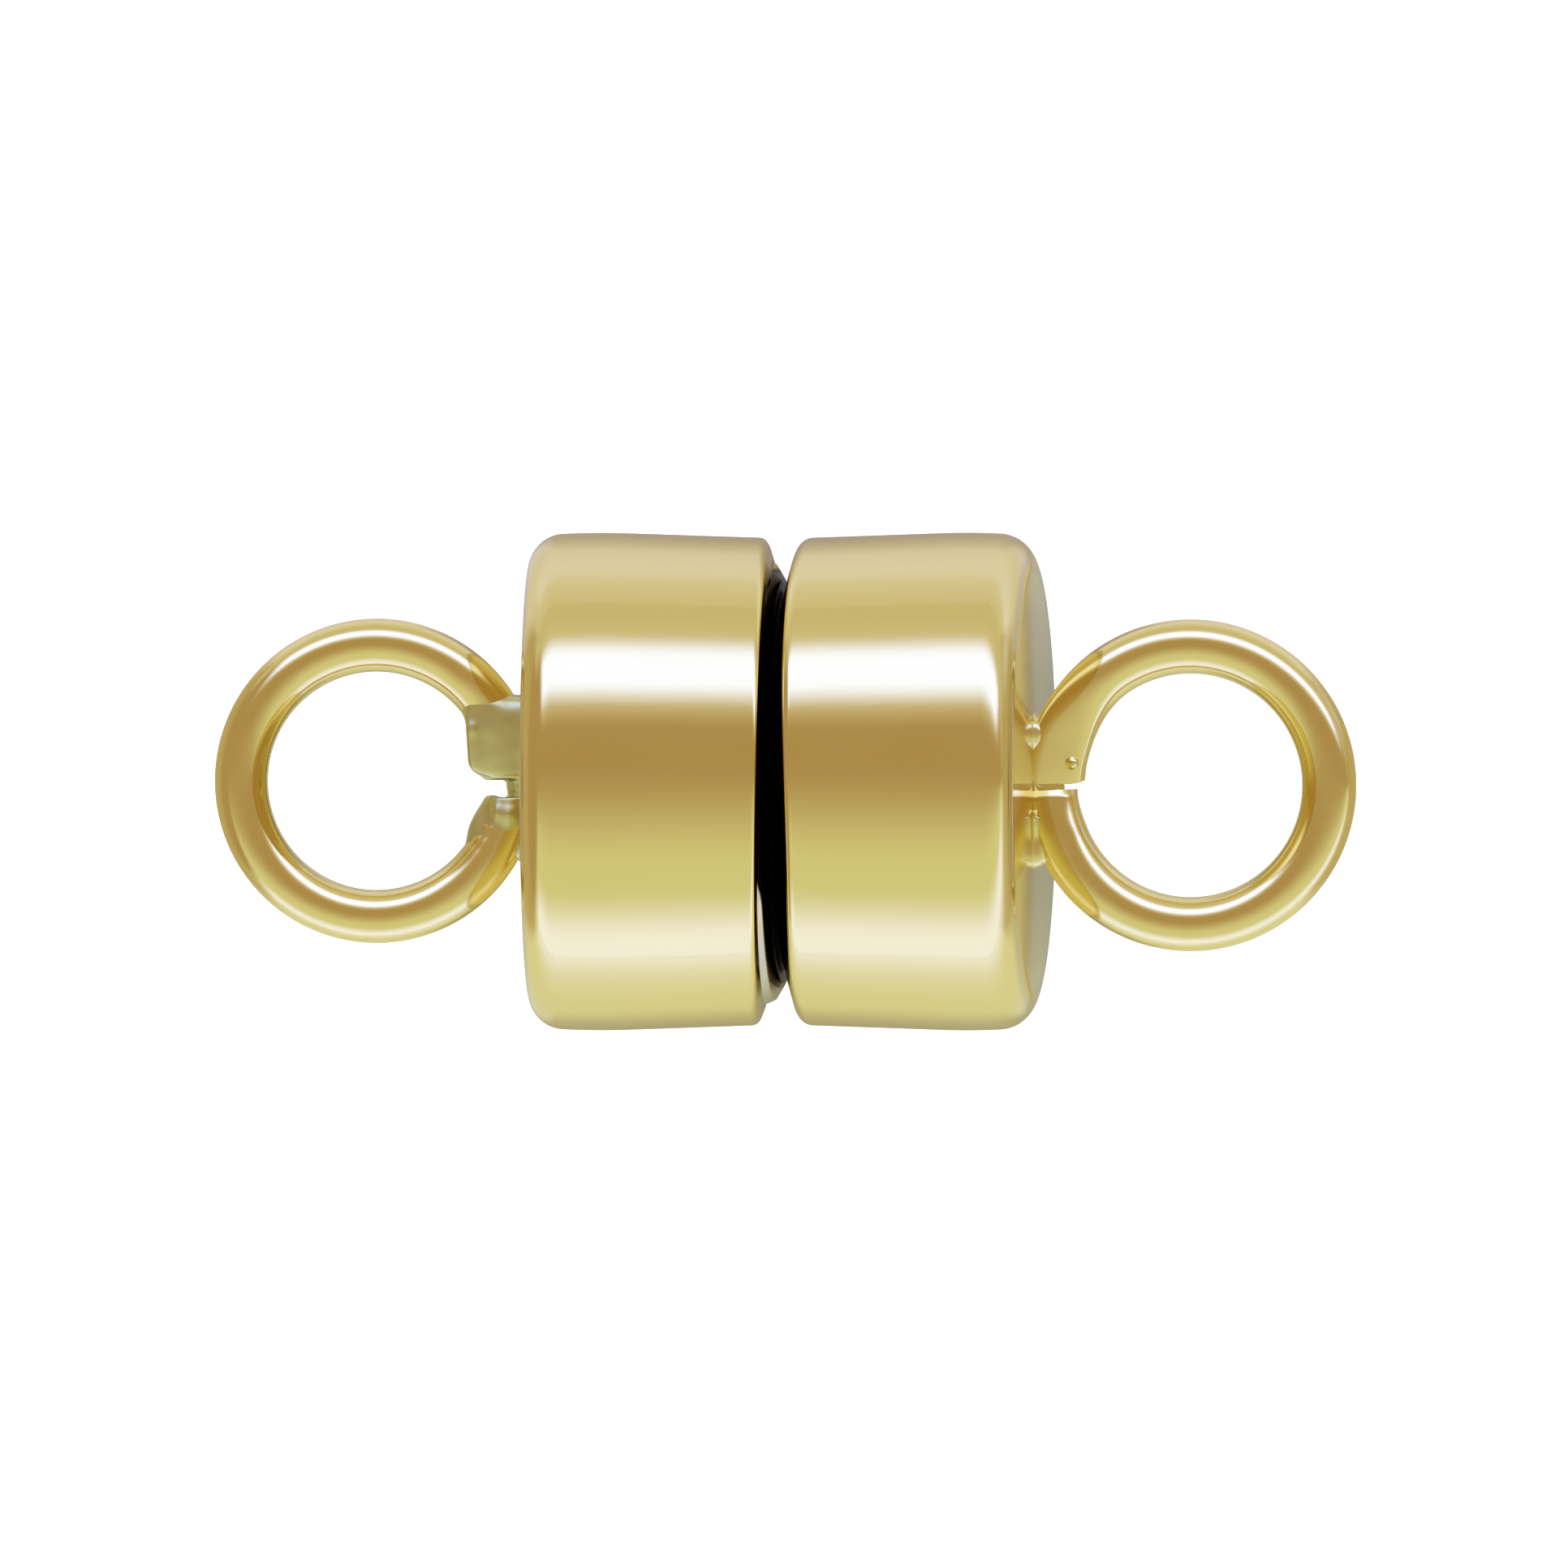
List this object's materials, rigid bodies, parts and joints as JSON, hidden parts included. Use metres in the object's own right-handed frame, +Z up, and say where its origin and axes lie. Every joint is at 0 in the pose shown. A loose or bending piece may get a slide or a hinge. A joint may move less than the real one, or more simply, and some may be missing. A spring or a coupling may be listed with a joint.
{
  "type": "magnetic clasp",
  "caption": "Small barrel-shaped magnetic clasp in gold-filled metal, with a soldered wire ring on each end, that joins the ends of a necklace or bracelet.",
  "frame": {"origin": "on the surface that the clasp lies on, below the plane where its two magnets meet", "axes": "+X along the barrel from the half with the standing-out magnet to the half with the rolled lip, +Z up, so both rings lie level"},
  "size_m": [0.0104, 0.0044, 0.0045],
  "materials": {
    "gold_filled": "polished",
    "nickel_plate": "bright nickel plate"
  },
  "bodies": {
    "left_half": {"left_looped_cup": "gold_filled", "left_magnet": "nickel_plate"},
    "right_magnet": {"right_magnet": "nickel_plate"},
    "right_half": {"right_looped_cup": "gold_filled"}
  },
  "joints": [
    {"name": "pull_apart", "type": "slide", "parent": "left_half", "child": "right_magnet", "axis": [1, 0, 0], "range_m": [0, 0.006]},
    {"name": "swivel", "type": "hinge", "parent": "right_magnet", "child": "right_half", "pos_m": [0, 0, 0.00224], "axis": [1, 0, 0], "continuous": true}
  ]
}
